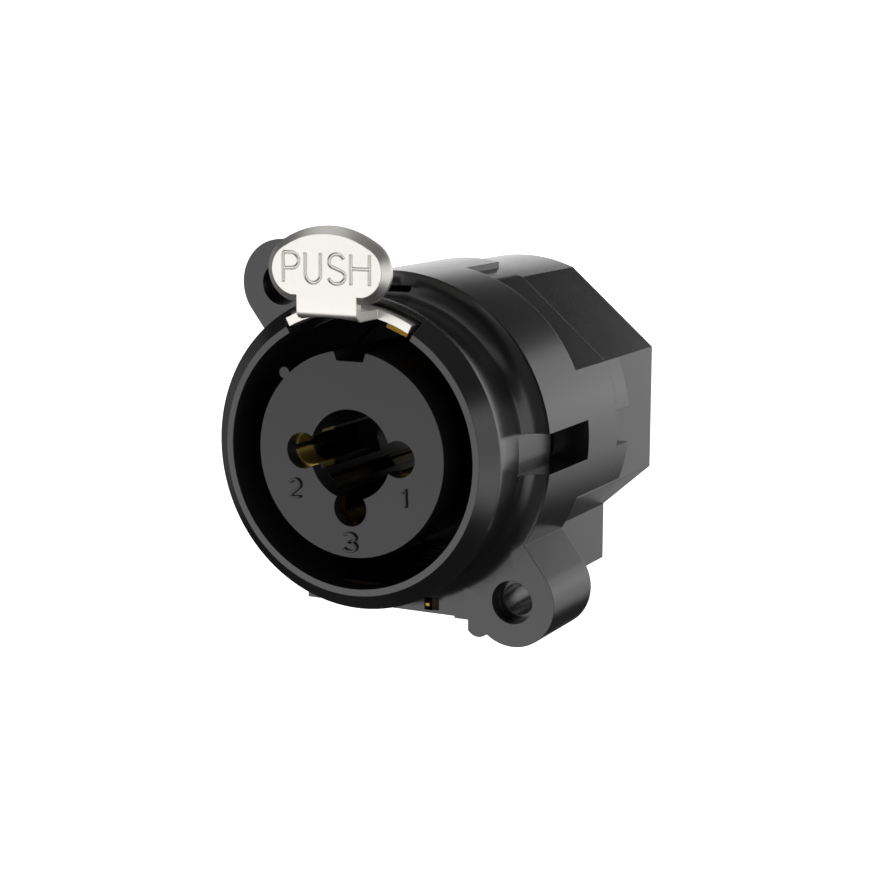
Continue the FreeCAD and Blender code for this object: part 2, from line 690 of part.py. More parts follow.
turned_copies(insert, [pin_mouth, pin_seat, tail_cut], 180, 3, "PinHoles")
sleeve_slot = new_sketch(insert, "XZ_Plane", insert_face + 1.6, "SleeveSlotOutline")
slot_at(sleeve_slot, sleeve_angle, jack_radius - 0.6, pin_circle + 0.75,
        sleeve_width / 2 + sheet_gap)
pocket(insert, sleeve_slot, flange_end - insert_face, "SleeveSlot")
leaf_slot = new_sketch(insert, "XZ_Plane", insert_floor - 0.5, "LeafSlotOutline")
slot_at(leaf_slot, ground_angle, leaf_radius - strip_sheet / 2 - sheet_gap, bore_radius + 0.4,
        strip_width / 2 + sheet_gap)
pocket(insert, leaf_slot, 1.9, "LeafSlot")

# Jack carrier.
# Slotted tube behind the insert that lines up the jack plug and guides its springs.

carrier = new_body("jack_carrier")
disc = new_sketch(carrier, "XZ_Plane", flange_end, "CarrierFlangeOutline")
add_circle(disc, 0, 0, bore_radius - fit_gap)
pad(carrier, disc, carrier_flange, "CarrierFlange")
tube = new_sketch(carrier, "XZ_Plane", flange_end, "CarrierTubeOutline")
add_circle(tube, 0, 0, carrier_radius)
pad(carrier, tube, carrier_end - flange_end, "CarrierTube")
clear = new_sketch(carrier, "XZ_Plane", flange_end - 1, "CarrierBoreOutline")
add_circle(clear, 0, 0, carrier_bore)
pocket(carrier, clear, carrier_end - flange_end + 2, "CarrierBore")
carrier_tail = new_sketch(carrier, "XZ_Plane", flange_end - 1, "CarrierTailOutline")
add_box(carrier_tail, tail_inner - sheet_gap, -(tail_half + sheet_gap),
        tail_outer + sheet_gap, tail_half + sheet_gap)
carrier_cut = pocket(carrier, carrier_tail, carrier_flange + 2, "CarrierTailSlot")
turned_copies(carrier, [carrier_cut], 180, 3, "CarrierTailSlots")
for angle, start, width, label in ((0.0, 0.5, strip_width, "TipGuide"),
                                   (ring_angle, 0.5, strip_width, "RingGuide"),
                                   (sleeve_angle, -carrier_flange - 1, sleeve_width, "SleeveGuide")):
    guide_slot = new_sketch(carrier, "XZ_Plane", flange_end + carrier_flange + start,
                            f"{label}Outline")
    slot_at(guide_slot, angle, carrier_bore - 0.6,
            sleeve_row + 0.3 if angle == sleeve_angle else carrier_radius + 0.6,
            width / 2 + sheet_gap)
    pocket(carrier, guide_slot, carrier_end - flange_end + 2, label)

# Terminal wafer.
# Disc against the inside of the rear wall that holds every solder tail in its place.

wafer = new_body("terminal_wafer")
disc = new_sketch(wafer, "XZ_Plane", carrier_end, "WaferOutline")
add_circle(disc, 0, 0, bore_radius - fit_gap)
pad(wafer, disc, wafer_sheet, "Wafer")
exit_hole = new_sketch(wafer, "XZ_Plane", carrier_end - 1, "JackExitOutline")
add_circle(exit_hole, 0, 0, carrier_bore)
pocket(wafer, exit_hole, wafer_sheet + 2, "JackExit")
wafer_tail = new_sketch(wafer, "XZ_Plane", carrier_end - 1, "WaferTailOutline")
add_box(wafer_tail, tail_inner - sheet_gap, -(tail_half + sheet_gap),
        tail_outer + sheet_gap, tail_half + sheet_gap)
wafer_cut = pocket(wafer, wafer_tail, wafer_sheet + 2, "WaferTailSlot")
turned_copies(wafer, [wafer_cut], 180, 3, "WaferTailSlots")
tail_slots = new_sketch(wafer, "XZ_Plane", carrier_end - 1, "StripTailOutline")
for angle, row, width in ((0.0, tail_row, strip_width), (0.0, switch_row, strip_width),
                          (ring_angle, tail_row, strip_width),
                          (ring_angle, switch_row, strip_width),
                          (sleeve_angle, sleeve_row, sleeve_width)):
    slot_at(tail_slots, angle, row - strip_sheet / 2 - sheet_gap,
            row + strip_sheet / 2 + sheet_gap, width / 2 + sheet_gap)
pocket(wafer, tail_slots, wafer_sheet + 2, "StripTailSlots")


def eye_outline(sketch, share):
    """The eye near the end of a tail, narrowed by this share on a narrow strip."""
    half = eye_width * share / 2
    add_box(sketch, -half, tail_end - eye_end - eye_length, half, tail_end - eye_end)


# Pin contacts.
# Each is one piece: a slit spring tube, open towards the jack bore, and a flat tail.

for label, angle in (("pin_1_contact", 90.0), ("pin_3_contact", 180.0),
                     ("pin_2_contact", 270.0)):
    contact = new_body(label)
    front_end = socket_front + fit_gap / 2
    ring = new_sketch(contact, "XZ_Plane", front_end, "TubeOutline")
    add_circle(ring, 0, pin_circle, socket_outer)
    add_circle(ring, 0, pin_circle, socket_bore)
    pad(contact, ring, socket_length, "Tube")
    tail = new_sketch(contact, "XZ_Plane", front_end + socket_length - 1, "TailOutline")
    add_box(tail, -tail_half, tail_inner, tail_half, tail_outer)
    pad(contact, tail, tail_end - front_end - socket_length + 1, "Tail")
    open_side = new_sketch(contact, "XZ_Plane", front_end - 1, "OpenSideOutline")
    add_box(open_side, -(socket_outer + 1), 0, socket_outer + 1, jack_radius + 0.06)
    pocket(contact, open_side, socket_length + 2, "OpenSide")
    slit = new_sketch(contact, "XZ_Plane", front_end - 1, "SlitOutline")
    add_box(slit, -(socket_slit / 2), pin_circle, socket_slit / 2, tail_outer + 0.3)
    pocket(contact, slit, socket_length - 1, "Slit")
    eye = new_sketch(contact, "XY_Plane", tail_inner - 0.5, "EyeOutline")
    eye_outline(eye, 1.0)
    pocket(contact, eye, socket_wall + 1, "Eye")
    turn_about_axis(contact, angle)


# Stamped springs.

def strip_spring(label, angle, path, width, eye_row=None):
    """A strip of spring sheet bent along a path of (along the axis, away from it)."""
    spring = new_body(label)
    course = new_sketch(spring, "YZ_Plane", 0, "Course")
    add_path(course, path)
    start = new_sketch(spring, "XZ_Plane", path[0][0], "Section")
    add_box(start, -(width / 2), path[0][1] - strip_sheet / 2,
            width / 2, path[0][1] + strip_sheet / 2)
    pipe = spring.newObject("PartDesign::AdditivePipe", "Strip")
    pipe.Profile = start
    pipe.Spine = (course, [])
    pipe.Transition = "Right corner"
    if eye_row is not None:
        eye = new_sketch(spring, "XY_Plane", eye_row - strip_sheet, "EyeOutline")
        eye_outline(eye, width / strip_width)
        pocket(spring, eye, strip_sheet * 2, "Eye")
    turn_about_axis(spring, angle)
    return spring


riser = flange_end + carrier_flange + 0.8
span = carrier_end - riser
arm_row = carrier_radius + 0.5
tip_touch = jack_radius - 0.66
shaft_touch = jack_radius - 0.06
strip_spring("jack_tip_spring", 0.0, [
    (tail_end, tail_row), (riser, tail_row), (riser, arm_row),
    (riser + span * 0.64, arm_row - 0.40), (riser + span * 0.86, tip_touch),
    (riser + span * 0.96, tip_touch + 0.75)], strip_width, tail_row)
strip_spring("tip_switch_contact", 0.0, [
    (tail_end, switch_row), (riser + span * 0.667, switch_row),
    (riser + span * 0.528, arm_row + 0.16), (riser + span * 0.389, arm_row + 0.16)],
    strip_width, switch_row)
strip_spring("jack_ring_spring", ring_angle, [
    (tail_end, tail_row), (riser, tail_row), (riser, arm_row),
    (riser + span * 0.139, arm_row - 0.20), (riser + span * 0.361, shaft_touch),
    (riser + span * 0.556, shaft_touch + 0.95)], strip_width, tail_row)
strip_spring("ring_switch_contact", ring_angle, [
    (tail_end, switch_row), (riser + span * 0.361, switch_row),
    (riser + span * 0.222, arm_row + 0.26), (riser + span * 0.083, arm_row + 0.26)],
    strip_width, switch_row)
strip_spring("jack_sleeve_spring", sleeve_angle, [
    (tail_end, sleeve_row), (riser + 0.80, sleeve_row), (riser - 0.40, pin_circle + 0.44),
    (-insert_face * 0.75, pin_circle + 0.39), (-insert_face * 0.5, shaft_touch),
    (-insert_face * 0.27, pin_circle + 0.10), (insert_face * 0.68, pin_circle + 0.10)],
    sleeve_width, sleeve_row)
spring_row = slot_floor - strip_sheet / 2 - 0.05
strip_spring("shell_ground_spring", 180.0, [
    (insert_floor - 0.20, spring_row), (slot_front + 0.75, spring_row),
    (slot_front + 0.35, bore_radius + 0.28), (slot_front + 0.50, bore_radius - 0.02),
    (slot_front + 1.90, bore_radius - 0.30), (slot_front + 5.80, bore_radius - 0.62),
    (slot_front + 8.40, bore_radius - 0.05)], slot_half * 2 - 0.3)
strip_spring("upper_ground_leaf", ground_angle, [
    (insert_floor + 1.30, leaf_radius), (insert_floor - 5.40, leaf_radius),
    (face + 3.60, leaf_radius - 0.45), (face + 0.55, leaf_radius + 0.40)],
    strip_width)

# Ground terminal and panel ground leaf.
# A flat strip along the underside whose narrow tip shows in the shoulder's small
# slot, and beside it a thin leaf that bends out of the slot to lie on the panel.

terminal = new_body("ground_terminal")
terminal_left = pin_slot_left + sheet_gap * 0.8
terminal_front = 1.20
strip = new_sketch(terminal, "XZ_Plane", terminal_front, "TerminalOutline")
add_box(strip, terminal_left, slot_low, terminal_left + terminal_sheet, slot_high)
pad(terminal, strip, tail_end - terminal_front, "Terminal")
tip = new_sketch(terminal, "XZ_Plane", leaf_front, "TipOutline")
add_box(tip, terminal_left, slot_low + 0.14, terminal_left + terminal_sheet, slot_low + 0.38)
pad(terminal, tip, terminal_front, "Tip")

panel_leaf = new_body("panel_ground_leaf")
leaf_plan = new_sketch(panel_leaf, "XY_Plane", slot_low, "LeafOutline")
add_outline(leaf_plan, [
    (leaf_left, shoulder_depth),
    (leaf_left, leaf_front + leaf_sheet),
    (leaf_right, leaf_front),
    (leaf_tip, leaf_front),
    (leaf_tip, leaf_front + leaf_sheet),
    (leaf_right + 0.06, leaf_front + leaf_sheet),
    (leaf_right, leaf_front + leaf_sheet + 0.10),
    (leaf_right, shoulder_depth)])
pad(panel_leaf, leaf_plan, slot_high - slot_low, "Leaf")

# Latch plate.
# One stamping: an arc-shaped plate that slides in the collar's rim, a bent neck
# with the push tab, and a narrow tongue back to the cross bar that the springs
# push on. A nose under the tongue locks the plug's shell.

latch = new_body("latch_plate")
tab_front = face - tab_standoff
plate_front = face - 0.10
latch_arcs = (
    ("Plate", latch_inner, latch_outer, latch_half_angle, plate_front, plate_back),
    ("Tongue", tongue_inner, tongue_outer, tongue_half_angle, plate_back - 0.2, latch_tail),
    ("CrossBar", tongue_inner, bar_outer, bar_half_angle, bar_front, latch_tail))
for label, inner, outer, half_angle, begin, end in latch_arcs:
    arc = new_sketch(latch, "XZ_Plane", begin, f"{label}Outline")
    add_outline(arc, sector(inner, outer, half_angle))
    pad(latch, arc, end - begin, label)


def neck_corners():
    """The neck's cross-section, a narrow piece of the plate's arc."""
    return [
        (-tab_neck_half, chord_half(latch_outer, tab_neck_half), latch_outer, -1),
        (tab_neck_half, chord_half(latch_outer, tab_neck_half)),
        (tab_neck_half, chord_half(latch_inner, tab_neck_half), latch_inner, 1),
        (-tab_neck_half, chord_half(latch_inner, tab_neck_half))]


neck = new_sketch(latch, "XZ_Plane", tab_front, "NeckOutline")
add_outline(neck, neck_corners())
pad(latch, neck, plate_front - tab_front + 0.2, "Neck")
rise = new_sketch(latch, "XZ_Plane", tab_front, "NeckRiseOutline")
add_outline(rise, [
    (-tab_neck_half, chord_half(latch_inner, tab_neck_half), latch_inner, -1),
    (tab_neck_half, chord_half(latch_inner, tab_neck_half)),
    (tab_neck_half, tab_bottom + tab_bevel * 2),
    (-tab_neck_half, tab_bottom + tab_bevel * 2)])
pad(latch, rise, latch_sheet, "NeckRise")
bend_round = latch_sheet - 0.10
neck_low = chord_half(latch_inner, tab_neck_half) + 0.08
bend = new_sketch(latch, "YZ_Plane", 0, "OuterBendOutline")
add_outline(bend, [
    (tab_front, neck_low + bend_round, bend_round * 1.02, 1),
    (tab_front + bend_round, neck_low),
    (tab_front + bend_round, neck_low - 0.6),
    (tab_front - 0.6, neck_low - 0.6),
    (tab_front - 0.6, neck_low + bend_round)])
pocket(latch, bend, tab_neck_half * 2 + 1, "OuterBend", both=True)


def tab_outline(sketch):
    """A wide, low dome with rounded lower corners."""
    corner_x, side_z, dome_x = tab_half_width * 0.607, tab_bottom + 2.18, tab_half_width * 0.732
    dome_z = tab_top - 1.0
    dome_round = (dome_x * dome_x + 1.0) / 2
    add_outline(sketch, [
        (corner_x, tab_bottom, tab_corner, 1),
        (tab_half_width, side_z, tab_corner, 1),
        (dome_x, dome_z, dome_round, 1),
        (-dome_x, dome_z, tab_corner, 1),
        (-tab_half_width, side_z, tab_corner, 1),
        (-corner_x, tab_bottom)])


tab = new_sketch(latch, "XZ_Plane", tab_front + tab_bevel, "TabOutline")
tab_outline(tab)
pad(latch, tab, latch_sheet - tab_bevel, "Tab")
tab_face = new_sketch(latch, "XZ_Plane", tab_front + tab_bevel, "TabFaceOutline")
tab_outline(tab_face)
face_pad = pad(latch, tab_face, tab_bevel, "TabFace")
face_pad.Reversed = not face_pad.Reversed
face_pad.TaperAngle = -45
nose = new_sketch(latch, "YZ_Plane", 0, "NoseOutline")
nose_root = tongue_inner + tongue_sheet / 2
add_outline(nose, [
    (hook_back - hook_length, nose_root),
    (hook_back - 0.35, latch_inner - hook_drop),
    (hook_back, latch_inner - hook_drop),
    (hook_back, nose_root)])
pad(latch, nose, hook_half * 2, "Nose", both=True)

# Return springs. Each coil is a solid of flat sections stepped round the helix.

def coil_shape(length, turns, radius, wire):
    """A closed solid that follows a helix along +Y, with a four-sided section."""
    steps, sides = 6, 4
    rings = []
    for step_number in range(turns * steps + 1):
        around = 2 * math.pi * step_number / steps
        height = length * step_number / (turns * steps)
        ring = []
        for side_number in range(sides):
            tilt = 2 * math.pi * side_number / sides
            reach = radius + wire * math.cos(tilt)
            ring.append(FreeCAD.Vector(
                reach * math.cos(around), height + wire * math.sin(tilt),
                reach * math.sin(around)))
        rings.append(ring)
    faces = []
    for near, far in zip(rings, rings[1:]):
        for k in range(sides):
            after = (k + 1) % sides
            for corners in ((near[k], near[after], far[after]), (near[k], far[after], far[k])):
                faces.append(Part.Face(Part.makePolygon(list(corners) + [corners[0]])))
    for ring in (rings[0], rings[-1]):
        faces.append(Part.Face(Part.makePolygon(ring + [ring[0]])))
    solid = Part.Solid(Part.Shell(faces))
    if solid.Volume < 0:
        solid.reverse()
    return solid


coil_room_end = latch_tail + coil_wire + 0.02
for label, side in (("latch_spring_left", -1), ("latch_spring_right", 1)):
    coil = doc.addObject("Part::Feature", label)
    coil.Label = label
    coil.Shape = coil_shape(
        (coil_seat - latch_tail - coil_wire * 2 - 0.04).number, int(coil_turns.number),
        coil_radius.number, coil_wire.number)
    coil.Placement = FreeCAD.Placement(
        FreeCAD.Vector(side * coil_across.number, coil_room_end.number, coil_height.number),
        FreeCAD.Rotation())
    pieces.append(coil)


def check_and_write():
    doc.recompute()
    for item in doc.Objects:
        broken = [word for word in ("Invalid", "Error") if word in item.State]
        if broken:
            raise RuntimeError(f"{item.Label}: {item.State} {item.getStatusString()}")
    os.makedirs("parts", exist_ok=True)
    for piece in pieces:
        shape = piece.Shape
        if shape.isNull() or not shape.isValid() or not shape.Solids:
            raise RuntimeError(f"{piece.Label} has no valid solid")
    for piece in pieces:
        piece.Shape.exportStep(f"parts/{piece.Label}.step")
        print(f"{piece.Label}: {len(piece.Shape.Solids)} solid, {piece.Shape.Volume:.2f} mm3")


check_and_write()
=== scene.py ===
import math

import bpy
from mathutils import Matrix, Vector


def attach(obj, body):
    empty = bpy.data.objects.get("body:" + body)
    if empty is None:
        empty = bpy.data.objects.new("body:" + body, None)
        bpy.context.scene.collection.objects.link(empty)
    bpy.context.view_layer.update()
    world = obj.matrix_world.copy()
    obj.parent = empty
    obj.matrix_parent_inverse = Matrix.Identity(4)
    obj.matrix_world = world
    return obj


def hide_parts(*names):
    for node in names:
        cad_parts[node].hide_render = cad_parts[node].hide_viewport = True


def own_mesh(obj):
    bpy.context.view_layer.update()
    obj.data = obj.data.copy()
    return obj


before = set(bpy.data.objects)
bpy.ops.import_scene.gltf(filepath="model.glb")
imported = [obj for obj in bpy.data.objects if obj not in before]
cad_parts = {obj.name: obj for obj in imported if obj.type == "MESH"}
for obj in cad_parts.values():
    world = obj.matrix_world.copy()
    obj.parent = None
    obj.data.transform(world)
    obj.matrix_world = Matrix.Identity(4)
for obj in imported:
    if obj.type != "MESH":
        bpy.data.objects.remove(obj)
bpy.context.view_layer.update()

MM = 0.001
bpy.ops.object.select_all(action="DESELECT")

# Camera. It stands a little right of the mouth and above it, at the photograph's
# angle, and the long lens keeps the collar's circles nearly true.
camera_stand = Vector((67.73, -126.39, 25.32)) * MM
azimuth, elevation, roll = math.radians(26.974), math.radians(9.900), math.radians(0.149)
right = Vector((math.cos(azimuth), math.sin(azimuth), 0))
back = Vector((math.sin(azimuth) * math.cos(elevation),
               -math.cos(azimuth) * math.cos(elevation), math.sin(elevation)))
up = back.cross(right)
turned_right = right * math.cos(roll) + up * math.sin(roll)
turned_up = up * math.cos(roll) - right * math.sin(roll)
lens = bpy.data.cameras.new("camera")
lens.lens, lens.sensor_width, lens.clip_start = 82.51, 36.0, 5 * MM
camera = bpy.data.objects.new("camera", lens)
camera.matrix_world = Matrix.Translation(camera_stand) @ Matrix(
    (turned_right, turned_up, back)).transposed().to_4x4()
bpy.context.scene.collection.objects.link(camera)
bpy.context.scene.camera = camera

# Studio. A white floor well below the socket, which hangs by its panel screws, and a
# white backdrop dome. Both glow evenly and give no light or reflection to the socket.
floor_z = -60.0 * MM
bpy.ops.mesh.primitive_plane_add(size=6.0, location=(0, 0, floor_z))
floor = bpy.context.object
floor.name = "studio_floor"
bpy.ops.mesh.primitive_uv_sphere_add(segments=48, ring_count=24, radius=3.0)
backdrop = bpy.context.object
backdrop.name = "studio_backdrop"
for surround in (floor, backdrop):
    surround.visible_glossy = False
    surround.visible_diffuse = False
    surround.visible_shadow = False


def srgb(code):
    """An sRGB hex colour as the linear values that a shader wants."""
    channels = [int(code[k:k + 2], 16) / 255 for k in (0, 2, 4)]
    linear = [c / 12.92 if c <= 0.04045 else ((c + 0.055) / 1.055) ** 2.4 for c in channels]
    return (*linear, 1.0)


def add_node(owner, kind, settings=None, **links):
    """Adds one node. Settings go to attributes or sockets, links join other nodes' outputs."""
    node = owner.node_tree.nodes.new(kind)
    for name, value in (settings or {}).items():
        if name in node.inputs:
            node.inputs[name].default_value = value
        else:
            setattr(node, name, value)
    for name, output in links.items():
        owner.node_tree.links.new(output, node.inputs[name])
    return node


def new_material(name):
    """A node material with nothing in it yet."""
    material = bpy.data.materials.new(name)
    material.use_nodes = True
    material.node_tree.nodes.clear()
    return material


def finish_material(material, shader):
    """Joins the shader to the material's output."""
    add_node(material, "ShaderNodeOutputMaterial", Surface=shader.outputs["BSDF"])


studio_white = new_material("studio_white")
finish_material(studio_white, add_node(studio_white, "ShaderNodeBsdfPrincipled", {
    "Base Color": srgb("FAFAFA"), "Roughness": 0.9,
    "Emission Color": srgb("FFFFFF"), "Emission Strength": 1.0}))
for surround in (floor, backdrop):
    surround.data.materials.append(studio_white)

# The light tent round the socket. Soft panels stand behind it and at its front left and
# right, with dark gaps between them, a sharp upper edge, and a weaker panel overhead.
tent = bpy.data.worlds.new("light_tent")
tent.use_nodes = True
outward = add_node(tent, "ShaderNodeTexCoord")
heading = add_node(tent, "ShaderNodeSeparateXYZ", Vector=outward.outputs["Generated"])


def light_stops(axis, stops):
    """Light levels along one axis of the tent, from -1 to 1, as a colour ramp."""
    along = add_node(tent, "ShaderNodeMapRange", {"From Min": -1.0, "From Max": 1.0},
                     Value=heading.outputs[axis])
    ramp = add_node(tent, "ShaderNodeValToRGB", Fac=along.outputs["Result"])
    for where, level in stops:
        if abs(where) == 1.0:
            stop = ramp.color_ramp.elements[0 if where < 0 else -1]
        else:
            stop = ramp.color_ramp.elements.new((where + 1) / 2)
        stop.color = (level, level, level, 1.0)
    return ramp.outputs["Color"]


behind = add_node(tent, "ShaderNodeVectorMath", {"operation": "MULTIPLY"})
before = add_node(tent, "ShaderNodeVectorMath", {"operation": "MULTIPLY"})
for panel, upward, across in (
        (behind,
         ((-1.00, 0.02), (-0.40, 0.02), (-0.32, 0.28), (-0.26, 0.46), (-0.10, 0.66),
          (0.04, 0.90), (0.20, 0.74), (0.31, 0.70), (0.34, 0.02), (0.60, 0.02),
          (0.72, 0.40), (1.00, 0.40)),
         ((-1.00, 0.10), (-0.80, 0.12), (-0.62, 0.60), (-0.45, 0.66), (1.00, 0.66))),
        (before,
         ((-1.00, 0.03), (-0.62, 0.05), (-0.44, 0.80), (-0.30, 0.92), (-0.18, 0.84),
          (-0.10, 0.66), (0.04, 0.68), (0.24, 0.80), (0.31, 0.70), (0.36, 0.05),
          (0.60, 0.05), (0.72, 0.40), (1.00, 0.40)),
         ((-1.00, 0.10), (-0.80, 0.30), (-0.66, 1.00), (-0.32, 1.00), (-0.18, 0.16),
          (0.50, 0.14), (0.72, 0.80), (1.00, 0.80)))):
    tent.node_tree.links.new(light_stops("Z", upward), panel.inputs[0])
    tent.node_tree.links.new(light_stops("X", across), panel.inputs[1])
# The front and the back of the tent run into each other at the socket's sides. A Mix
# node's sockets share names between its data types, so they are taken by their places.
turn = add_node(tent, "ShaderNodeMapRange", {"From Min": -0.25, "From Max": 0.25},
                Value=heading.outputs["Y"])
whole_tent = add_node(tent, "ShaderNodeMix", {"data_type": "VECTOR"})
for place, source in ((0, turn.outputs["Result"]), (4, before.outputs["Vector"]),
                      (5, behind.outputs["Vector"])):
    tent.node_tree.links.new(source, whole_tent.inputs[place])
tent_light = tent.node_tree.nodes["Background"]
tent_light.inputs["Strength"].default_value = 2.4
tent.node_tree.links.new(whole_tent.outputs[1], tent_light.inputs["Color"])
bpy.context.scene.world = tent
bpy.context.scene.view_settings.view_transform = "Standard"

# Moulded shell parts: black glass-filled polyamide, straight from a spark-eroded mould,
# so satin, with 9 grains to the millimetre, a faint mottle some 5 mm across from the
# flow, and edges rounded by 0.06 mm. The insert's resin is duller than the shell's.
nylon = new_material("moulded_black_polyamide")
place = add_node(nylon, "ShaderNodeTexCoord")
grain = add_node(nylon, "ShaderNodeTexNoise",
                 {"Scale": 9 / MM, "Detail": 3.0, "Roughness": 0.6},
                 Vector=place.outputs["Object"])
mottle = add_node(nylon, "ShaderNodeTexNoise", {"Scale": 0.18 / MM, "Detail": 2.0},
                  Vector=place.outputs["Object"])
sheen = add_node(nylon, "ShaderNodeMapRange", {"To Min": 0.18, "To Max": 0.23},
                 Value=mottle.outputs["Fac"])
edge = add_node(nylon, "ShaderNodeBevel", {"samples": 6, "Radius": 0.06 * MM})
relief = add_node(nylon, "ShaderNodeBump", {"Strength": 0.08, "Distance": 0.03 * MM},
                  Height=grain.outputs["Fac"], Normal=edge.outputs["Normal"])
finish_material(nylon, add_node(nylon, "ShaderNodeBsdfPrincipled", {
    "Base Color": srgb("1C1C1D"), "IOR": 1.56},
    Roughness=sheen.outputs["Result"], Normal=relief.outputs["Normal"]))

insert_nylon = nylon.copy()
insert_nylon.name = "moulded_insert_polyamide"
for node in insert_nylon.node_tree.nodes:
    if node.type == "BSDF_PRINCIPLED":
        node.inputs["IOR"].default_value = 1.43


def smooth_copy(node_name, piece_name, crease):
    """A merged copy of a CAD node, with only creases above this many degrees left sharp.

    It has no material yet, and stays selected and active.
    """
    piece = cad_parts[node_name].copy()
    piece.data = piece.data.copy()
    piece.name = piece_name
    piece.parent = None
    bpy.context.scene.collection.objects.link(piece)
    bpy.ops.object.select_all(action="DESELECT")
    piece.select_set(True)
    bpy.context.view_layer.objects.active = piece
    bpy.ops.object.mode_set(mode="EDIT")
    bpy.ops.mesh.select_all(action="SELECT")
    bpy.ops.mesh.remove_doubles(threshold=0.001 * MM)
    bpy.ops.object.mode_set(mode="OBJECT")
    bpy.ops.mesh.customdata_custom_splitnormals_clear()
    bpy.ops.object.shade_smooth_by_angle(angle=math.radians(crease))
    weighted = piece.modifiers.new("weighted_normals", "WEIGHTED_NORMAL")
    weighted.mode, weighted.keep_sharp = "FACE_AREA_WITH_ANGLE", True
    bpy.ops.object.modifier_apply(modifier=weighted.name)
    piece.data.materials.clear()
    return piece


def finish_nodes(material, *node_names):
    """Gives CAD nodes this material in place of the plain one that they come with."""
    for node_name in node_names:
        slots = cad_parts[node_name].data.materials
        slots.clear()
        slots.append(material)


front_moulding = smooth_copy("front_housing", "front_moulding", 34)
front_moulding.data.materials.append(nylon)
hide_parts("front_housing")
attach(front_moulding, "housing")
finish_nodes(nylon, "rear_housing")
finish_nodes(insert_nylon, "contact_insert", "jack_carrier", "terminal_wafer")

# Latch plate: spring steel, stamped and bent, then barrel-plated with nickel, which
# leaves it satin, with 7 grains to the millimetre and its cut edges a little rounded.
nickel = new_material("satin_nickel_plate")
place = add_node(nickel, "ShaderNodeTexCoord")
grain = add_node(nickel, "ShaderNodeTexNoise", {"Scale": 7 / MM, "Detail": 2.0},
                 Vector=place.outputs["Object"])
sheen = add_node(nickel, "ShaderNodeMapRange", {"To Min": 0.34, "To Max": 0.42},
                 Value=grain.outputs["Fac"])
edge = add_node(nickel, "ShaderNodeBevel", {"samples": 6, "Radius": 0.08 * MM})
relief = add_node(nickel, "ShaderNodeBump", {"Strength": 0.02, "Distance": 0.02 * MM},
                  Height=grain.outputs["Fac"], Normal=edge.outputs["Normal"])
finish_material(nickel, add_node(nickel, "ShaderNodeBsdfPrincipled", {
    "Base Color": srgb("DAD8D3"), "Metallic": 1.0},
    Roughness=sheen.outputs["Result"], Normal=relief.outputs["Normal"]))

# Lettering on the tab: four letters pressed into the plate with a rounded punch, so
# each stroke is a shallow round-bottomed groove.
tab_face_y = -9.80 * MM
groove_radius, punch_lift = 0.125 * MM, 0.04 * MM


def arc_points(centre, radius_x, radius_z, start, end, steps=14):
    """Points along an arc in the plane of the letters, angles in degrees from +X."""
    points = []
    for k in range(steps + 1):
        angle = math.radians(start + (end - start) * k / steps)
        points.append((centre[0] + radius_x * math.cos(angle),
                       centre[1] + radius_z * math.sin(angle)))
    return points


def stroke_mesh(name, strokes, depth_y, radius=0.0, half_height=0.0):
    """Strokes in the XZ plane, with points in mm: round rods, or bands on edge if flat."""
    curve = bpy.data.curves.new(name, "CURVE")
    curve.dimensions = "3D" if radius else "2D"
    curve.fill_mode = "FULL" if radius else "NONE"
    curve.bevel_depth, curve.bevel_resolution = radius, 3
    curve.extrude = half_height
    curve.use_fill_caps = radius > 0
    for points in strokes:
        spline = curve.splines.new("POLY")
        spline.points.add(len(points) - 1)
        for point, (x, z) in zip(spline.points, points):
            point.co = (x * MM, z * MM, 0, 1)
    item = bpy.data.objects.new(name, curve)
    bpy.context.scene.collection.objects.link(item)
    item.matrix_world = Matrix.Translation((0, depth_y, 0)) @ Matrix.Rotation(
        math.radians(90), 4, "X")
    bpy.ops.object.select_all(action="DESELECT")
    item.select_set(True)
    bpy.context.view_layer.objects.active = item
    bpy.ops.object.convert(target="MESH")
    bpy.ops.object.transform_apply(location=True, rotation=True, scale=True)
    item = bpy.context.object
    bpy.ops.object.mode_set(mode="EDIT")
    bpy.ops.mesh.select_all(action="SELECT")
    bpy.ops.mesh.remove_doubles(threshold=0.002 * MM)
    bpy.ops.mesh.normals_make_consistent(inside=False)
    bpy.ops.object.mode_set(mode="OBJECT")
    return item


def push_strokes():
    """The four capitals as open strokes, in mm on the tab's face."""
    top, foot = 14.28, 12.27
    stem_p, bowl_p, middle_p = -3.346, -2.70, 13.22
    bowl_r = (top - middle_p) / 2
    letter_p = [[(stem_p, foot), (stem_p, top)],
                [(stem_p, top), (bowl_p, top)]
                + arc_points((bowl_p, top - bowl_r), 0.56, bowl_r, 90, -90)
                + [(bowl_p, middle_p), (stem_p, middle_p)]]
    left_u, middle_u, right_u, bend_u = -1.62, -1.025, -0.43, foot + 0.60
    letter_u = [[(left_u, top), (left_u, bend_u)]
                + arc_points((middle_u, bend_u), 0.595, 0.60, 180, 360)
                + [(right_u, bend_u), (right_u, top)]]
    middle_s, bow_s = 0.82, 0.53
    upper = arc_points((middle_s, top - bow_s), 0.60, bow_s, 25, 200)
    lower = arc_points((middle_s, foot + bow_s), 0.64, bow_s, 20, -160)
    letter_s = [upper + [(0.42, 13.42), (middle_s, 13.28), (1.22, 13.14)] + lower]
    left_h, right_h, bar_h = 1.92, 3.34, 13.34
    letter_h = [[(left_h, foot), (left_h, top)], [(right_h, foot), (right_h, top)],
                [(left_h, bar_h), (right_h, bar_h)]]
    return letter_p + letter_u + letter_s + letter_h


plate_crease = 28
punch = stroke_mesh("push_punch", push_strokes(), tab_face_y - punch_lift,
                    radius=groove_radius)
plate = smooth_copy("latch_plate", "latch_plate_with_lettering", plate_crease)
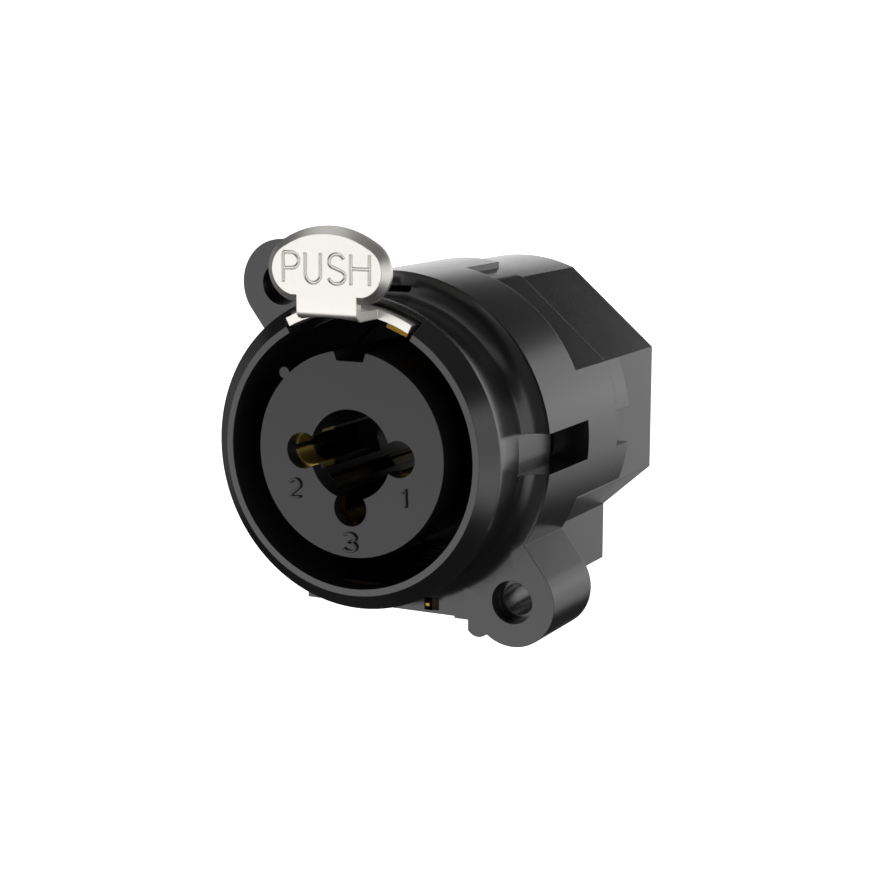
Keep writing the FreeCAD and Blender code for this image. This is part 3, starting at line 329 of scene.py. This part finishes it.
# The stamping rounds the tab's front edge over wider than it is deep, so the rounding's
# points draw in towards the tab's middle, most at the face.
roll_start_y, draw_in = -9.40 * MM, 0.12 * MM
tab_foot_z, tab_middle_z, neck_half = 10.80 * MM, 13.30 * MM, 2.40 * MM
face_half_width, face_half_height = 4.38 * MM, 2.20 * MM
for vertex in plate.data.vertices:
    rolled = (roll_start_y - vertex.co.y) / (roll_start_y - tab_face_y)
    if rolled > 0 and vertex.co.z > tab_foot_z:
        if abs(vertex.co.x) > neck_half:
            vertex.co.x *= 1 - rolled * draw_in / face_half_width
        vertex.co.z += rolled * draw_in * (tab_middle_z - vertex.co.z) / face_half_height
bpy.ops.object.mode_set(mode="EDIT")
bpy.ops.mesh.select_all(action="SELECT")
bpy.ops.mesh.dissolve_limited(angle_limit=math.radians(0.5))
bpy.ops.object.mode_set(mode="OBJECT")
# The strokes of a letter run into each other, so the cut allows for that.
cut = plate.modifiers.new("lettering", "BOOLEAN")
cut.operation, cut.object, cut.solver, cut.use_self = "DIFFERENCE", punch, "EXACT", True
bpy.ops.object.modifier_apply(modifier=cut.name)
bpy.data.objects.remove(punch)
if plate.data.has_custom_normals:
    bpy.ops.mesh.customdata_custom_splitnormals_clear()
bpy.ops.object.shade_smooth_by_angle(angle=math.radians(plate_crease))
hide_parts("latch_plate")
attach(plate, "latch")
plate.data.materials.clear()
plate.data.materials.append(nickel)

# Pin numbers, raised on the insert's face in one moulding with it. Each stroke is a
# narrow flat-topped ridge with its edges just broken. It stands 0.18 mm proud and is
# rooted a little way in the face.
digit_middle_y, digit_half_height = -6.70 * MM, 0.12 * MM


def digit_strokes():
    """The three digits as open strokes, in mm on the insert's face."""
    one = [(4.12, -2.34), (4.44, -2.07), (4.44, -3.33)]
    two = (arc_points((-4.42, -2.46), 0.39, 0.36, 165, -35)
           + [(-4.80, -3.34), (-3.98, -3.34)])
    three_top = arc_points((-0.02, -5.90), 0.48, 0.30, 155, -90) + [(-0.11, -6.20)]
    three_foot = [(-0.14, -6.22)] + arc_points((-0.02, -6.55), 0.53, 0.33, 88, -155)
    return [one, two, three_top, three_foot]


digits = stroke_mesh("pin_numbers", digit_strokes(), digit_middle_y,
                     half_height=digit_half_height)
ridge = digits.modifiers.new("ridge_width", "SOLIDIFY")
ridge.thickness, ridge.offset, ridge.use_even_offset = 0.20 * MM, 0.0, False
broken = digits.modifiers.new("broken_edges", "BEVEL")
broken.width, broken.segments, broken.limit_method = 0.04 * MM, 2, "ANGLE"
for modifier_name in ("ridge_width", "broken_edges"):
    bpy.ops.object.modifier_apply(modifier=modifier_name)
digits.data.materials.append(insert_nylon)
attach(digits, "housing")
bpy.ops.object.shade_smooth_by_angle(angle=math.radians(35))

# Contacts: strip of phosphor bronze, and of brass for the jack's sleeve spring, stamped
# and rolled, with a mottle of 0.4 mm. Pin 2's contact is gold at the mouth and the tail,
# and its body between, deep in the bore, is painted near-black as painted shade. Pins 1
# and 3 have the same gold tail, but a darker gold mouth and a near-black body, both
# painted shade. Two ground strips are dull gold all over, and the bare springs have gone
# brown.
strip_reach, tail_gilt = 16.5, "E8B93C"
for metal_name, painted_shade_code, gilt_code, smooth, rough, node_names in (
        # Pin 2: gold mouth and tail, with the body between painted near-black as painted
        # shade.
        ("mouth_gold_bronze_painted_shade", "221C12", "FFE27E", 0.34, 0.42, ("pin_2_contact",)),
        # Pins 1 and 3: a darker copy of pin 2's gold at the mouth and a near-black body, both
        # painted shade; the tail is the same gold.
        ("dark_gold_bronze_painted_shade", "1C1710", "5C4716", 0.20, 0.30,
         ("pin_1_contact", "pin_3_contact")),
        ("dull_gilded_bronze", "A8842E", "A8842E", 0.36, 0.48,
         ("upper_ground_leaf", "ground_terminal")),
        ("brown_spring_bronze", "6A4A2A", "6A4A2A", 0.30, 0.42,
         ("jack_tip_spring", "tip_switch_contact", "jack_ring_spring",
          "ring_switch_contact")),
        ("dark_spring_bronze", "1E1812", "1E1812", 0.34, 0.46,
         ("shell_ground_spring", "panel_ground_leaf")),
        ("bare_spring_brass", "443A24", "443A24", 0.30, 0.42, ("jack_sleeve_spring",))):
    metal = new_material(metal_name)
    place = add_node(metal, "ShaderNodeTexCoord")
    mottle = add_node(metal, "ShaderNodeTexNoise", {"Scale": 2.5 / MM, "Detail": 2.0},
                      Vector=place.outputs["Object"])
    sheen = add_node(metal, "ShaderNodeMapRange", {"To Min": smooth, "To Max": rough},
                     Value=mottle.outputs["Fac"])
    edge = add_node(metal, "ShaderNodeBevel", {"samples": 4, "Radius": 0.04 * MM})
    shader = add_node(metal, "ShaderNodeBsdfPrincipled", {
        "Base Color": srgb(gilt_code), "Metallic": 1.0},
        Roughness=sheen.outputs["Result"], Normal=edge.outputs["Normal"])
    # Where a strip is gold at its ends and its body between is painted near-black as
    # painted shade, the places along it are in mm from the plane of the panel.
    if painted_shade_code != gilt_code:
        depth = add_node(metal, "ShaderNodeSeparateXYZ", Vector=place.outputs["Object"])
        gilt_and_shade_place = add_node(metal, "ShaderNodeMapRange", {
            "From Min": -strip_reach * MM, "From Max": strip_reach * MM},
            Value=depth.outputs["Y"])
        strip = add_node(metal, "ShaderNodeValToRGB", Fac=gilt_and_shade_place.outputs["Result"])
        strip.color_ramp.elements[0].color = srgb(gilt_code)
        strip.color_ramp.elements[1].color = srgb(tail_gilt)
        for deep, code in ((-3.4, gilt_code), (-3.0, painted_shade_code), (12.0, painted_shade_code),
                           (12.6, tail_gilt)):
            stop = strip.color_ramp.elements.new((deep + strip_reach) / (2 * strip_reach))
            stop.color = srgb(code)
        metal.node_tree.links.new(strip.outputs["Color"], shader.inputs["Base Color"])
    finish_material(metal, shader)
    finish_nodes(metal, *node_names)

# Latch springs: two small coils of hard-drawn wire with the plate's nickel finish. Their
# rear ends stand on the housing. In the real socket the push on the latch closes them up;
# these copies are fixed to the housing and keep their shape.
for side in ("left", "right"):
    coil = smooth_copy("latch_spring_" + side, "latch_coil_" + side, 50)
    coil.data.materials.append(nickel)
    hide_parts("latch_spring_" + side)
    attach(coil, "housing")
    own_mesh(coil)
